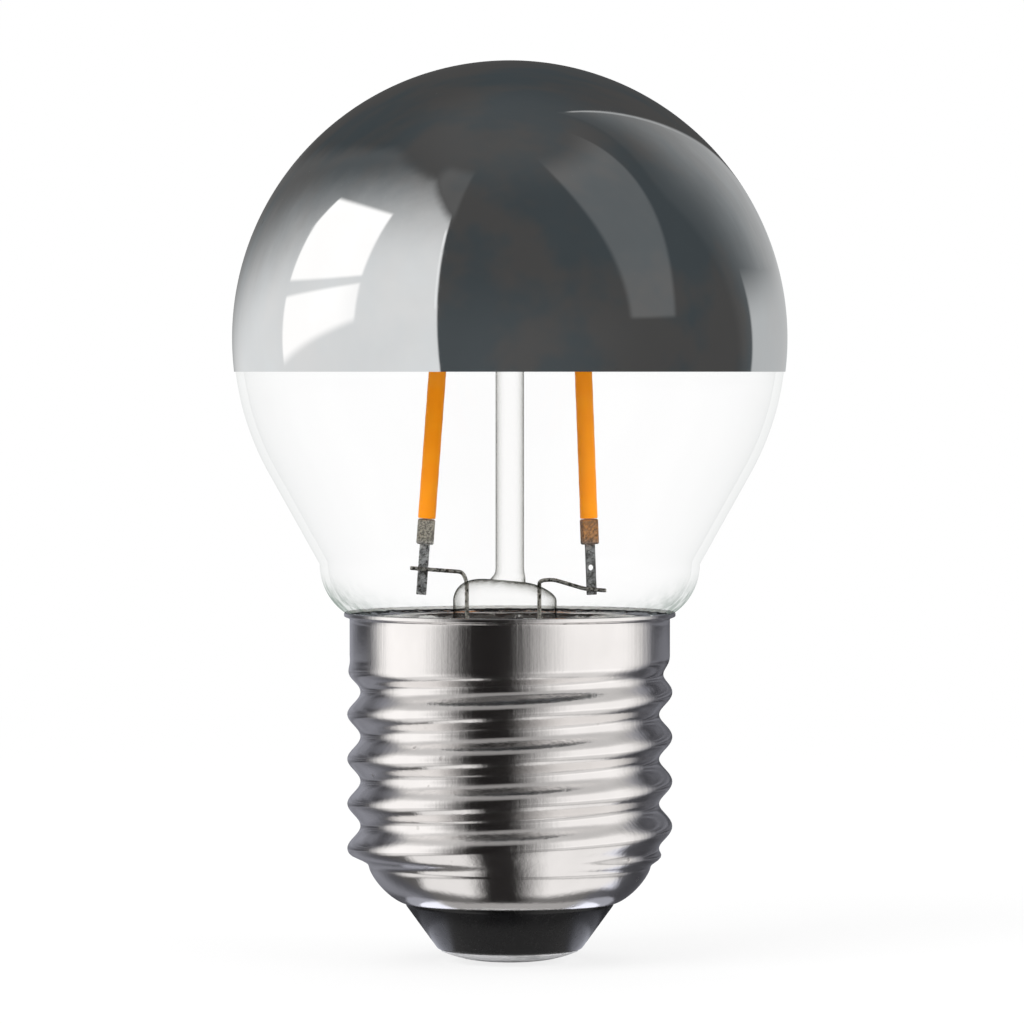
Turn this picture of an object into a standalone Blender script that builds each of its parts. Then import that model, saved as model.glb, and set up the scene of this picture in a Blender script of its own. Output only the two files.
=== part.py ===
# Half-mirrored golf-ball lamp with two LED filaments and an E27 screw cap.
# Lengths below are in millimetres and angles in degrees; the mesh helpers turn them into metres and radians.
# The lamp stands cap down, +Z up, with the tip of the centre contact at the origin.

import math

import bmesh
import bpy
import numpy as np
from mathutils import Matrix, Vector

# ---- globe and silver coat ----
globe_radius = 22.5             # over the silver coat
globe_centre_z = 50.6
crown_edge_z = 47.9             # lower edge of the mirror, just under the widest line
coat_thickness = 0.08           # thicker than real silver, so that it stays a solid piece
coat_gap = 0.04
glass_radius = globe_radius - coat_thickness - coat_gap
glass_wall = 0.65
globe_segments = 36
crown_rows = 9                  # down to the equator, and one more to the mirror's edge
waist_angle = 29.7              # latitude below the equator where the ball runs into the cone
shoulder_radius = 4.8           # rounded shoulder over the cap
shoulder_centre_r = 10.62
shoulder_centre_z = 32.3
shoulder_end_angle = 60.0
neck_top_z = 26.6
neck_end_z = 19.0

# ---- screw shell, E27 ----
thread_crest = 13.2
thread_root = 12.13
thread_pitch = 25.4 / 7         # seven turns to the inch
thread_crest_z = 14.66          # height of a crest on the +X side
thread_top_z = 25.0             # the groove has run out here
thread_full_top_z = 22.4
thread_full_end_z = 9.9
thread_end_z = 7.4
collar_step = 0.2               # the collar stays inside the crests, so that it passes the holder
collar_radius = thread_crest - collar_step
collar_end_z = 27.2
rim_flare = 0.42
rim_radius = collar_radius + rim_flare
rim_z = 28.0
shell_sheet = 0.25
shell_foot_r = 11.45            # where the wall turns into the foot
shell_mouth_r = 8.42            # hole that holds the insulator
shell_mouth_z = 4.79
shell_segments = 32
rows_per_pitch = 6
neck_room = 0.48                # neck of the globe to the inside of the thread
neck_radius = thread_root - shell_sheet - neck_room

# ---- insulator and centre contact ----
button_gap = 0.12               # insulator to shell
button_neck_r = shell_mouth_r - 1.4 * button_gap
button_slope = 2.53             # how far the cone narrows on its way down
button_tip_r = button_neck_r - button_slope
button_tip_z = 0.72
button_chamfer = 0.14
button_floor_z = 6.4
button_bore = 1.75
contact_margin = 0.32           # the contact stays inside the button's tip
contact_radius = button_tip_r - contact_margin
contact_sheet = 0.3
contact_rim_z = 0.34
contact_hole = 1.45
contact_low_z = 0.1
solder_gap = 0.1
solder_flat_r = 1.15            # flat on the tip, the face that makes contact
solder_top_z = 0.95

# ---- cement ----
cement_gap = 0.14
cement_foot_z = thread_top_z + 0.2
cement_drop = 0.55              # its top edge stays this far under the rim

# ---- stem ----
post_radius = 1.15
post_foot_z = 30.9
post_bead_radius = 1.55
press_half_width = 4.2
press_depth_share = 0.56        # the press is squeezed flat, front to back
press_shift = -0.4              # and it stands a little to one side of the post
press_top_z = 30.95
press_side_z = 29.4
flare_tube_r = 4.2
flare_wall = 0.75
flare_gap = 0.25                # rim of the flare to the inside of the neck
flare_rim_r = neck_radius - glass_wall - flare_gap
flare_rim_z = 19.6
flare_neck_z = 23.2
hollow_top_z = 22.9
squeeze_end_z = 26.2
exhaust_radius = 1.5
exhaust_bore = 0.75
exhaust_tip_z = 13.6
exhaust_port_z = 28.6
stem_segments = 20

# ---- LED filaments, each in its own frame: along +Z from the lower end of the coat ----
coat_width = 1.45
coat_depth = 1.3
strip_width = 0.8
strip_depth = 0.36
strip_past_coat = 1.7
clip_width = 1.38
clip_depth = 0.78
clip_length = 2.1
tab_width = 0.82
tab_depth = 0.25
tab_length = 4.1
tab_hole = 0.5
filament_gap = 0.05
filament_foot_z = 36.0          # lower end of both coats
filament_head_room = 3.0        # upper tabs to the inside of the globe
left_foot_x = -6.74
left_lean = 4.2
left_twist = 4.0
right_foot_x = 6.42
right_lean = -2.15
right_twist = 18.0
free_radius = glass_radius - glass_wall - filament_head_room
filament_top_z = globe_centre_z + math.sqrt(free_radius ** 2 - left_foot_x ** 2)
coat_length = (filament_top_z - filament_foot_z) / math.cos(math.radians(left_lean)) - clip_length - tab_length

# ---- wires ----
wire_radius = 0.16
wire_channel_gap = 0.1
wire_weld_gap = 0.03
left_wire_x = -3.49             # where the wires leave the press
right_wire_x = 2.40
left_weld_up = 2.06             # height of the weld above the lower end of the left tab
right_weld_up = 0.48
top_weld_up = 2.0               # and above the clip at the upper ends
left_knee_rise = 0.72           # the bend of each wire above the press
right_knee_rise = 0.04
left_tail = 1.05                # wire left past the weld
right_tail = 1.2

# ---- driver in the cap ----
board_margin = 3.95             # edge of the board to the wall of the foot
board_width = 2 * (shell_foot_r - board_margin)
board_foot_z = button_floor_z + 1.0
board_height = flare_rim_z - board_foot_z - 1.4
board_sheet = 0.8
board_y = 3.2
part_gap = 0.12                 # standing height of a part over the board
part_space = 0.35               # and from one part to the next
can_radius = 0.31 * (shell_foot_r - exhaust_radius)
can_length = 8.6
can_x = -(exhaust_radius + part_space + can_radius)
can_y = -1.0
fuse_radius = 1.1
fuse_length = 4.5
fuse_x = 0.6
bridge_width = 4.7
chip_width = 4.9
chip_height = 3.9
small_chip_width = 2.0
small_chip_height = 1.25
wire_dress = 1.9                # how far the lead wires stay from the axis on their way down
link_radius = 0.25              # wires from the board to the shell and to the centre contact

metre = 0.001


# ---------- helpers ----------

for item in list(bpy.data.objects):
    bpy.data.objects.remove(item)

lamp = bpy.data.collections.new("silver_crown_bulb")
bpy.context.scene.collection.children.link(lamp)
cutters = bpy.data.collections.new("cutters")
cutters.hide_render = True
bpy.context.scene.collection.children.link(cutters)


def material(name, colour, metallic=0.0, roughness=0.4, alpha=1.0, transmission=0.0):
    made = bpy.data.materials.new(name)
    made.use_nodes = True
    shader = made.node_tree.nodes["Principled BSDF"]
    shader.inputs["Base Color"].default_value = (*colour, 1.0)
    shader.inputs["Metallic"].default_value = metallic
    shader.inputs["Roughness"].default_value = roughness
    shader.inputs["Alpha"].default_value = alpha
    shader.inputs["Transmission Weight"].default_value = transmission
    made.diffuse_color = (*colour, alpha)
    return made


def place(name, mesh, skin):
    made = bpy.data.objects.new(name, mesh)
    mesh.materials.append(skin)
    lamp.objects.link(made)
    return made


def cutter(name, mesh):
    made = bpy.data.objects.new(name, mesh)
    made.hide_render = True
    made.display_type = "WIRE"
    cutters.objects.link(made)
    return made


def boolean(target, tool, operation):
    step = target.modifiers.new(f"{operation.lower()} {tool.name}", "BOOLEAN")
    step.operation = operation
    step.solver = "EXACT"
    step.object = tool


def smooth(mesh, angle=38):
    for face in mesh.polygons:
        face.use_smooth = True
    mesh.set_sharp_from_angle(angle=math.radians(angle))


def turned(name, outline, segments, skin, closed=True):
    """A piece of revolution. The outline is (radius, height) pairs, down the outside and back up the inside."""
    mesh = bpy.data.meshes.new(name)
    points = [(r * metre, 0.0, z * metre) for r, z in outline]
    edges = [(i, i + 1) for i in range(len(points) - 1)]
    if closed and outline[0][0] > 0:
        edges.append((len(points) - 1, 0))
    mesh.from_pydata(points, edges, [])
    made = place(name, mesh, skin)
    screw = made.modifiers.new("turn", "SCREW")
    screw.axis = "Z"
    screw.steps = screw.render_steps = segments
    screw.use_merge_vertices = True
    screw.merge_threshold = 0.000002
    screw.use_smooth_shade = True
    return made


def evaluated_mesh(made):
    """The mesh that a modifier stack or a curve comes to, as a new mesh."""
    bpy.context.view_layer.update()
    mesh = bpy.data.meshes.new_from_object(made.evaluated_get(bpy.context.evaluated_depsgraph_get()))
    work = bmesh.new()
    work.from_mesh(mesh)
    bmesh.ops.remove_doubles(work, verts=work.verts, dist=0.000001)
    work.to_mesh(mesh)
    work.free()
    return mesh


def offset(outline, distance):
    """The outline moved sideways to its right-hand side going down, with mitred corners."""
    line = np.array(outline, float)
    ahead = np.diff(line, axis=0)
    ahead /= np.linalg.norm(ahead, axis=1)[:, None]
    side = np.stack([ahead[:, 1], -ahead[:, 0]], axis=1)
    before, after = np.vstack([side[:1], side]), np.vstack([side, side[-1:]])
    mitre = before + after
    mitre /= (mitre * before).sum(axis=1)[:, None]
    return [tuple(point) for point in line + mitre * distance]


def arc(centre_r, centre_z, radius, start, end, steps):
    """Points on a circle in the outline plane, from one angle to another."""
    turns = np.radians(np.linspace(start, end, steps + 1))
    return [(centre_r + radius * math.cos(t), centre_z + radius * math.sin(t)) for t in turns]


def box_mesh(name, size, centre, bevel=0.0):
    """A box with its edges broken by a small chamfer."""
    work = bmesh.new()
    bmesh.ops.create_cube(work, size=1.0)
    bmesh.ops.scale(work, vec=Vector(size) * metre, verts=work.verts)
    bmesh.ops.translate(work, vec=Vector(centre) * metre, verts=work.verts)
    if bevel:
        bmesh.ops.bevel(work, geom=work.edges[:], offset=bevel * metre, segments=1, affect="EDGES")
    mesh = bpy.data.meshes.new(name)
    work.to_mesh(mesh)
    work.free()
    return mesh


def rod_mesh(name, radius, start, end, sides=12, bevel=0.0):
    """A round bar from one point to another, with chamfered ends."""
    start, end = Vector(start) * metre, Vector(end) * metre
    work = bmesh.new()
    bmesh.ops.create_cone(work, cap_ends=True, segments=sides, radius1=radius * metre,
                          radius2=radius * metre, depth=(end - start).length)
    turn = (end - start).to_track_quat("Z", "Y").to_matrix().to_4x4()
    bmesh.ops.transform(work, matrix=Matrix.Translation((start + end) / 2) @ turn, verts=work.verts)
    if bevel:
        rims = [edge for edge in work.edges if any(len(face.verts) > 4 for face in edge.link_faces)]
        bmesh.ops.bevel(work, geom=rims, offset=bevel * metre, segments=1, affect="EDGES")
    mesh = bpy.data.meshes.new(name)
    work.to_mesh(mesh)
    work.free()
    return mesh


def rounded(path, radius, steps=2):
    """A path with each inner corner replaced by a short curve of the given reach."""
    path = [Vector(point) for point in path]
    out = [path[0]]
    for before, corner, after in zip(path, path[1:], path[2:]):
        reach = min(radius, (before - corner).length * 0.45, (after - corner).length * 0.45)
        a = corner + (before - corner).normalized() * reach
        b = corner + (after - corner).normalized() * reach
        for i in range(steps + 1):
            t = i / steps
            out.append(a * (1 - t) ** 2 + corner * 2 * t * (1 - t) + b * t * t)
    return out + [path[-1]]


def wire_curve(name, path, radius):
    curve = bpy.data.curves.new(name, "CURVE")
    curve.dimensions = "3D"
    curve.bevel_depth = radius * metre
    curve.bevel_resolution = 2
    curve.use_fill_caps = True
    line = curve.splines.new("POLY")
    line.points.add(len(path) - 1)
    for spot, point in zip(line.points, path):
        spot.co = (*(Vector(point) * metre), 1.0)
    return curve


def wire(name, path, radius, skin):
    curve = wire_curve(name, path, radius)
    made = place(name, curve, skin)
    for line in curve.splines:
        line.use_smooth = True
    return made


def channel(name, path, radius):
    """A cutter that leaves room for a wire along the same path."""
    guide = bpy.data.objects.new(name, wire_curve(name, path, radius))
    cutters.objects.link(guide)
    mesh = evaluated_mesh(guide)
    bpy.data.objects.remove(guide)
    return cutter(name, mesh)


glass = material("clear glass", (0.86, 0.89, 0.88), roughness=0.04, alpha=0.22, transmission=0.9)
stem_glass = material("stem glass", (0.72, 0.78, 0.72), roughness=0.06, alpha=0.45, transmission=0.8)
silver = material("silver coat", (0.62, 0.64, 0.66), metallic=1.0, roughness=0.05)
nickel = material("nickel plate", (0.72, 0.71, 0.69), metallic=1.0, roughness=0.22)
black_glass = material("black glass", (0.012, 0.012, 0.013), roughness=0.12)
solder = material("solder", (0.62, 0.62, 0.63), metallic=1.0, roughness=0.45)
putty = material("cement", (0.16, 0.13, 0.10), roughness=0.9)
amber = material("amber silicone", (0.90, 0.34, 0.03), roughness=0.45)
ceramic = material("white ceramic", (0.80, 0.80, 0.76), roughness=0.6)
steel = material("steel tab", (0.34, 0.34, 0.33), metallic=1.0, roughness=0.35)
lead = material("nickel wire", (0.42, 0.42, 0.41), metallic=1.0, roughness=0.3)
copper = material("tinned copper", (0.66, 0.62, 0.56), metallic=1.0, roughness=0.3)
board_green = material("board", (0.05, 0.20, 0.08), roughness=0.5)
can_sleeve = material("capacitor sleeve", (0.02, 0.03, 0.06), roughness=0.4)
chip_black = material("moulded chip", (0.02, 0.02, 0.02), roughness=0.55)
resistor_body = material("resistor enamel", (0.10, 0.30, 0.20), roughness=0.5)
chip_body = material("chip resistor", (0.03, 0.03, 0.035), roughness=0.4)


# ---------- silver coat over the top half of the globe ----------

crown_latitude = math.degrees(math.asin((crown_edge_z - globe_centre_z) / globe_radius))


def dome(radius):
    """Latitude rings of the globe from the pole past the equator to the mirror's edge, in the outline plane."""
    rings = arc(0.0, globe_centre_z, radius, 90, 0, crown_rows)
    rings[0] = (0.0, rings[0][1])
    return rings + arc(0.0, globe_centre_z, radius, 0, crown_latitude, 1)[1:]


outer_coat = dome(globe_radius)
inner_coat = dome(globe_radius - coat_thickness)
turned("mirror_crown", outer_coat + inner_coat[::-1], globe_segments, silver)


# ---------- glass envelope ----------

outside = (
    dome(glass_radius)
    + arc(0.0, globe_centre_z, glass_radius, crown_latitude, -waist_angle, 3)[1:]
    + arc(shoulder_centre_r, shoulder_centre_z, shoulder_radius, 0, -shoulder_end_angle, 4)
    + [(neck_radius + 0.35, neck_top_z + 0.85), (neck_radius, neck_top_z), (neck_radius, neck_end_z)]
)
inside = offset(outside, glass_wall)
inside[0] = (0.0, globe_centre_z + glass_radius - glass_wall)
turned("glass_envelope", outside + inside[::-1], globe_segments, glass)


# ---------- screw shell: a straight drawn cup whose wall is pushed out and in along the helix ----------

def ease(value, low, high):
    """0 below low, 1 above high and a smooth run between."""
    t = np.clip((value - low) / (high - low), 0.0, 1.0)
    return t * t * (3 - 2 * t)


def thread_share(z):
    """How much of the full thread depth is there at a height."""
    return (1 - ease(z, thread_full_top_z, thread_top_z)) * ease(z, thread_end_z, thread_full_end_z)


def wall_radius(z):
    """Mean radius of the wall at a height, thread left out."""
    middle = (thread_crest + thread_root) / 2
    up = ease(z, thread_full_top_z, thread_top_z)
    down = 1 - ease(z, thread_end_z, thread_full_end_z)
    return middle + (collar_radius - middle) * up + (shell_foot_r - middle) * down


def thread_push(x, y, z):
    """Radial push at a point of the wall for a right-hand thread, positive at a crest."""
    turn = np.arctan2(y, x) / (2 * math.pi)
    wave = np.cos(2 * math.pi * ((z - thread_crest_z) / thread_pitch - turn))
    return (thread_crest - thread_root) / 2 * wave * thread_share(z)


thread_rows = int(round((thread_top_z - thread_end_z) / thread_pitch * rows_per_pitch))
wall = [(float(wall_radius(z)), float(z)) for z in np.linspace(thread_top_z, thread_end_z, thread_rows + 1)]
foot_reach = thread_end_z - shell_mouth_z
foot = [
    (shell_mouth_r + (shell_foot_r - shell_mouth_r) * math.cos(t) ** 0.8,
     thread_end_z - foot_reach * math.sin(t) ** 1.15)
    for t in np.radians((24, 46, 68, 90))
]
foot[-1] = (shell_mouth_r, shell_mouth_z)
rim = [(rim_radius, rim_z), (collar_radius + 0.17, (rim_z + collar_end_z) / 2), (collar_radius, collar_end_z)]
shell_outline = rim + wall + foot

shell_guide = turned("shell_guide", shell_outline, shell_segments, nickel, closed=False)
shell_mesh = evaluated_mesh(shell_guide)
bpy.data.objects.remove(shell_guide)
for vertex in shell_mesh.vertices:
    x, y, z = vertex.co / metre
    grow = 1 + float(thread_push(x, y, z)) / math.hypot(x, y)
    vertex.co.x *= grow
    vertex.co.y *= grow
smooth(shell_mesh, 60)
shell = place("cap_shell", shell_mesh, nickel)
sheet = shell.modifiers.new("sheet", "SOLIDIFY")
sheet.thickness = shell_sheet * metre
sheet.offset = -1.0
sheet.use_even_offset = True


# ---------- insulator: black glass run into the foot of the shell ----------

seat = offset(wall[-3:] + foot, shell_sheet + button_gap)[2:-1]
button = (
    [(button_bore, button_floor_z), (6.6, button_floor_z), (9.4, button_floor_z + 0.75),
     (seat[0][0] - 0.3, seat[0][1] + 0.25)]
    + seat
    + [(button_neck_r, shell_mouth_z + shell_sheet + 0.12), (button_neck_r, shell_mouth_z - 0.2),
       (button_tip_r, button_tip_z + button_chamfer), (button_tip_r - button_chamfer, button_tip_z),
       (button_bore, button_tip_z)]
)
turned("cap_insulator", button, shell_segments, black_glass)


# ---------- centre contact ----------

def contact_height(r):
    """Height of the underside of the contact: a shallow dish, lowest at the middle."""
    share = (r - contact_hole) / (contact_radius - contact_hole)
    return contact_low_z + (contact_rim_z - contact_low_z) * max(share, 0.0) ** 1.7


dish = [(r, contact_height(r)) for r in np.linspace(contact_radius, contact_hole, 4)]
dish_top = [(r, z + contact_sheet) for r, z in dish]
turned("contact_plate", [dish_top[0]] + dish + dish_top[:0:-1], 24, nickel)
plug = contact_hole - solder_gap
turned("contact_solder", [(0.0, solder_top_z), (plug * 0.75, solder_top_z), (plug, solder_top_z - 0.2),
                          (plug, contact_low_z), (solder_flat_r, 0.0), (0.0, 0.0)], 20, solder)


# ---------- cement between the neck and the shell ----------

under_glass = offset(outside[-4:-1], -cement_gap)
ring_out = collar_radius - shell_sheet - cement_gap
ring_in = neck_radius + cement_gap + 0.02
turned("cap_cement", [(ring_in, neck_top_z - 0.1), (under_glass[1][0] + 0.02, under_glass[1][1] - 0.05),
                      (ring_out, rim_z - cement_drop), (ring_out, cement_foot_z), (ring_in, cement_foot_z)],
       shell_segments, putty)


# ---------- wire paths ----------

def on_filament(foot_x, lean, along):
    """A point of a filament's middle line, measured along it from the lower end of its coat."""
    t = math.radians(lean)
    return Vector((foot_x + math.sin(t) * along, 0.0, filament_foot_z + math.cos(t) * along))


def weld_side(twist):
    """How far in front of a filament's middle line a wire runs where it is welded to a tab."""
    t = math.radians(twist)
    return -(tab_depth / 2 * math.cos(t) + tab_width / 2 * math.sin(t) + wire_radius + wire_weld_gap)


left_y, right_y = weld_side(left_twist), weld_side(right_twist)
left_weld = on_filament(left_foot_x, left_lean, left_weld_up - clip_length - tab_length)
right_weld = on_filament(right_foot_x, right_lean, right_weld_up - clip_length - tab_length)
board_top_z = board_foot_z + board_height
front_y = board_y - board_sheet / 2
back_y = board_y + board_sheet / 2
pad_y = front_y - wire_radius - wire_weld_gap


def lead_path(exit_x, knee_rise, weld, weld_y, tail):
    """From the board up through the press, over a knee and across the lower tab."""
    side = math.copysign(1.0, exit_x)
    dressed = side * (exhaust_radius + wire_radius + 0.8)
    knee_z = press_top_z + knee_rise
    return rounded([
        (dressed, pad_y, board_top_z - 0.9), (dressed, pad_y, board_top_z + 0.2),
        (dressed, 0.3, hollow_top_z - 1.6), (dressed, 0.0, hollow_top_z + 0.3),
        (exit_x, 0.0, press_side_z - 1.2), (exit_x, 0.0, press_top_z - 0.1),
        (exit_x + side * 0.35, weld_y * 0.15, knee_z), (exit_x + side * 1.15, weld_y * 0.55, knee_z + 0.05),
        (weld.x - side * 0.5, weld_y, weld.z), (weld.x + side * tail, weld_y, weld.z + tail_drop * side)], 0.5)


tail_drop = -0.12
left_path = lead_path(left_wire_x, left_knee_rise, left_weld, left_y, left_tail)
right_path = lead_path(right_wire_x, right_knee_rise, right_weld, right_y, right_tail)
wire("left_lead_wire", left_path, wire_radius, lead)
wire("right_lead_wire", right_path, wire_radius, lead)

left_top = on_filament(left_foot_x, left_lean, coat_length + clip_length + top_weld_up)
right_top = on_filament(right_foot_x, right_lean, coat_length + clip_length + top_weld_up)
post_bead_z = (left_top.z + right_top.z) / 2
top_path = rounded([
    (left_top.x - 1.0, left_y, left_top.z), (left_top.x + 0.8, left_y, left_top.z),
    (-post_bead_radius - 0.5, 0.0, post_bead_z), (post_bead_radius + 0.5, 0.0, post_bead_z),
    (right_top.x - 0.9, right_y, right_top.z), (right_top.x + 1.0, right_y, right_top.z)], 0.6)
wire("top_support_wire", top_path, wire_radius, lead)


# ---------- glass stem: flare, press, post and exhaust tube, fused to one piece ----------

bead = arc(0.0, post_bead_z, post_bead_radius, 90, -42, 5)
bead[0] = (0.0, bead[0][1])
flare_out = [
    (flare_tube_r, flare_neck_z), (flare_tube_r + 0.35, 21.9), (flare_tube_r + 1.6, 20.75),
    (flare_tube_r + 3.9, 19.95), (flare_rim_r, flare_rim_z)]
flare_in = offset(flare_out, flare_wall)
stem_outline = (
    bead
    + [(post_radius, post_bead_z - 1.9), (post_radius, post_foot_z + 0.6), (post_radius + 0.55, post_foot_z)]
    + arc(press_half_width - 1.6, press_side_z - 0.1, 1.6, 86, 0, 3)
    + [(press_half_width, squeeze_end_z), (press_half_width, (squeeze_end_z + flare_neck_z) / 2)]
    + flare_out
    + flare_in[:0:-1]
    + [(flare_tube_r - flare_wall, flare_neck_z - 1.2), (flare_tube_r - flare_wall - 0.6, hollow_top_z),
       (exhaust_radius + 0.5, hollow_top_z), (exhaust_radius, hollow_top_z - 0.6),
       (exhaust_radius, exhaust_tip_z + 1.1), (exhaust_radius * 0.55, exhaust_tip_z + 0.2), (0.0, exhaust_tip_z)]
)
stem_guide = turned("stem_guide", stem_outline, stem_segments, stem_glass)
stem_mesh = evaluated_mesh(stem_guide)
bpy.data.objects.remove(stem_guide)
for vertex in stem_mesh.vertices:
    z = vertex.co.z / metre
    reach = math.hypot(vertex.co.x, vertex.co.y) / metre
    if reach > post_radius + 0.2 and flare_neck_z < z < press_top_z + 0.2:
        squeeze = float(ease(z, flare_neck_z, squeeze_end_z))
        vertex.co.y *= 1 + (press_depth_share - 1) * squeeze
        vertex.co.x += press_shift * metre * squeeze
smooth(stem_mesh, 50)
stem = place("glass_stem", stem_mesh, stem_glass)
room = wire_radius + wire_channel_gap
pressed = (hollow_top_z - 1.7, press_top_z + 0.5)
boolean(stem, channel("left_wire_room", [point for point in left_path if pressed[0] < point.z < pressed[1]], room),
        "DIFFERENCE")
boolean(stem, channel("right_wire_room", [point for point in right_path if pressed[0] < point.z and
                                          abs(point.x) < abs(right_wire_x) + 0.6], room), "DIFFERENCE")
boolean(stem, channel("top_wire_room", [point for point in top_path if abs(point.x) < post_bead_radius + 1.1], room),
        "DIFFERENCE")
boolean(stem, cutter("exhaust_bore", rod_mesh("exhaust_bore", exhaust_bore, (0, 0, exhaust_tip_z + 1.6),
                                              (0, 0, exhaust_port_z), 10)), "DIFFERENCE")
boolean(stem, cutter("exhaust_port", rod_mesh("exhaust_port", exhaust_bore * 0.85, (0, 0, exhaust_port_z - 0.9),
                                              (0, 3.4, exhaust_port_z + 0.6), 10)), "DIFFERENCE")


# ---------- filaments ----------

def filament_frame(foot_x, lean, twist):
    """Where a filament's own frame stands in the lamp."""
    return (Matrix.Translation(Vector((foot_x, 0.0, filament_foot_z)) * metre)
            @ Matrix.Rotation(math.radians(lean), 4, "Y") @ Matrix.Rotation(math.radians(twist), 4, "Z"))


def coat_mesh(name):
    """An oval bead of silicone round the strip, its ends drawn in, with a slot along it for the strip."""
    sides, rows = 14, [(0.0, 0.8), (0.3, 1.0), (coat_length / 2, 1.0), (coat_length - 0.3, 1.0), (coat_length, 0.8)]
    work = bmesh.new()
    rings = []
    for z, share in rows:
        ring = []
        for i in range(sides):
            t = 2 * math.pi * i / sides
            ring.append(work.verts.new((coat_width / 2 * share * math.cos(t) * metre,
                                        coat_depth / 2 * share * math.sin(t) * metre, z * metre)))
        rings.append(ring)
    for low, high in zip(rings, rings[1:]):
        for i in range(sides):
            j = (i + 1) % sides
            work.faces.new((low[i], low[j], high[j], high[i]))
    work.faces.new(rings[0][::-1])
    work.faces.new(rings[-1])
    mesh = bpy.data.meshes.new(name)
    work.to_mesh(mesh)
    work.free()
    return mesh


def tab_mesh(name, up, holed):
    """End fitting of a filament: a clip round the strip's end and a flat tab past it, cut from one sheet."""
    frame = 1 if up else -1
    start = coat_length if up else 0.0
    clip = box_mesh(name, (clip_width, clip_depth, clip_length - filament_gap),
                    (0, 0, start + frame * (clip_length + filament_gap) / 2), 0.1)
    body = place(name, clip, steel)
    tail_from, tail_to = clip_length - 0.3, clip_length + tab_length
    tail = cutter(name + "_tail", box_mesh(name + "_tail", (tab_width, tab_depth, tail_to - tail_from),
                                           (0, 0, start + frame * (tail_from + tail_to) / 2), 0.04))
    boolean(body, tail, "UNION")
    slot_long = 2 * (strip_past_coat + filament_gap)
    slot = cutter(name + "_slot", box_mesh(
        name + "_slot", (strip_width + 2 * filament_gap, strip_depth + 2 * filament_gap, slot_long), (0, 0, start)))
    boolean(body, slot, "DIFFERENCE")
    if holed:
        centre = start + frame * (clip_length + tab_length * 0.46)
        boolean(body, cutter(name + "_hole", rod_mesh(name + "_hole", tab_hole / 2, (0, -1, centre),
                                                      (0, 1, centre), 10)), "DIFFERENCE")
    return body


def filament(side, foot_x, lean, twist, holed):
    frame = filament_frame(foot_x, lean, twist)
    strip = place(f"{side}_filament_strip", box_mesh(
        f"{side}_filament_strip", (strip_width, strip_depth, coat_length + 2 * strip_past_coat),
        (0, 0, coat_length / 2), 0.03), ceramic)
    coat = place(f"{side}_filament_coat", coat_mesh(f"{side}_filament_coat"), amber)
    smooth(coat.data, 50)
    slot = cutter(f"{side}_strip_room", box_mesh(
        f"{side}_strip_room", (strip_width + 2 * filament_gap, strip_depth + 2 * filament_gap, coat_length + 4),
        (0, 0, coat_length / 2)))
    boolean(coat, slot, "DIFFERENCE")
    pieces = [strip, coat, tab_mesh(f"{side}_lower_tab", False, holed), tab_mesh(f"{side}_upper_tab", True, False)]
    made = set(pieces)
    for piece in pieces:
        made |= {step.object for step in piece.modifiers if step.type == "BOOLEAN"}
    for thing in made:
        thing.data.transform(frame)


filament("left", left_foot_x, left_lean, left_twist, False)
filament("right", right_foot_x, right_lean, right_twist, True)


# ---------- driver in the cap ----------

board_mid_z = board_foot_z + board_height / 2


def boxed(name, size, centre, skin, bevel):
    mesh = box_mesh(name, size, centre, bevel)
    smooth(mesh, 30)
    return place(name, mesh, skin)


boxed("driver_board", (board_width, board_sheet, board_height), (0, board_y, board_mid_z), board_green, 0.08)
on_front = front_y - part_gap
on_back = back_y + part_gap
bridge_x = fuse_x + fuse_radius + part_space + bridge_width / 2
boxed("bridge_rectifier", (bridge_width, 2.3, 3.8), (bridge_x, on_front - 1.15, board_foot_z + 3.0), chip_black, 0.2)
chip_x = -chip_width / 2
chip_z = board_top_z - 2.3 - chip_height / 2
boxed("driver_chip", (chip_width, 1.5, chip_height), (chip_x, on_back + 0.75, chip_z), chip_black, 0.15)
small_x = 2 * part_space + small_chip_width
small_z = board_top_z - 2.0 - small_chip_height / 2
boxed("chip_resistor_1", (small_chip_width, 0.55, small_chip_height), (small_x, on_back + 0.275, small_z),
      chip_body, 0.06)
boxed("chip_resistor_2", (small_chip_width, 0.55, small_chip_height),
      (small_x, on_back + 0.275, small_z - 2 * small_chip_height), chip_body, 0.06)
can_foot_z = board_foot_z + 0.4
can = rod_mesh("smoothing_capacitor", can_radius, (can_x, can_y, can_foot_z), (can_x, can_y, can_foot_z + can_length),
               20, 0.35)
smooth(can, 50)
place("smoothing_capacitor", can, can_sleeve)
fuse_y = on_front - fuse_radius - 0.1
fuse_foot_z = board_foot_z + 0.7
fuse = rod_mesh("fuse_resistor", fuse_radius, (fuse_x, fuse_y, fuse_foot_z),
                (fuse_x, fuse_y, fuse_foot_z + fuse_length), 12, 0.3)
smooth(fuse, 50)
place("fuse_resistor", fuse, resistor_body)
contact_path = rounded([
    (fuse_x, fuse_y, fuse_foot_z - 0.15), (fuse_x, fuse_y, button_floor_z + 0.8), (0.0, 0.0, button_floor_z - 0.8),
    (0.0, 0.0, solder_top_z + wire_weld_gap)], 0.6)
wire("contact_wire", contact_path, link_radius, copper)
reach = thread_root - shell_sheet - link_radius - 0.12
shell_path = rounded([
    (board_width / 2 - 1.0, back_y + link_radius + 0.05, neck_end_z - 2.7),
    (board_width / 2 - 0.4, back_y + 1.4, neck_end_z - 2.5),
    (reach * 0.66, reach * 0.7, neck_end_z - 2.2), (reach * 0.68, reach * 0.73, neck_end_z - 0.5)], 0.6)
wire("shell_wire", shell_path, link_radius, copper)
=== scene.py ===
import math

import bpy
import numpy as np
from mathutils import Matrix, Vector


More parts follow.
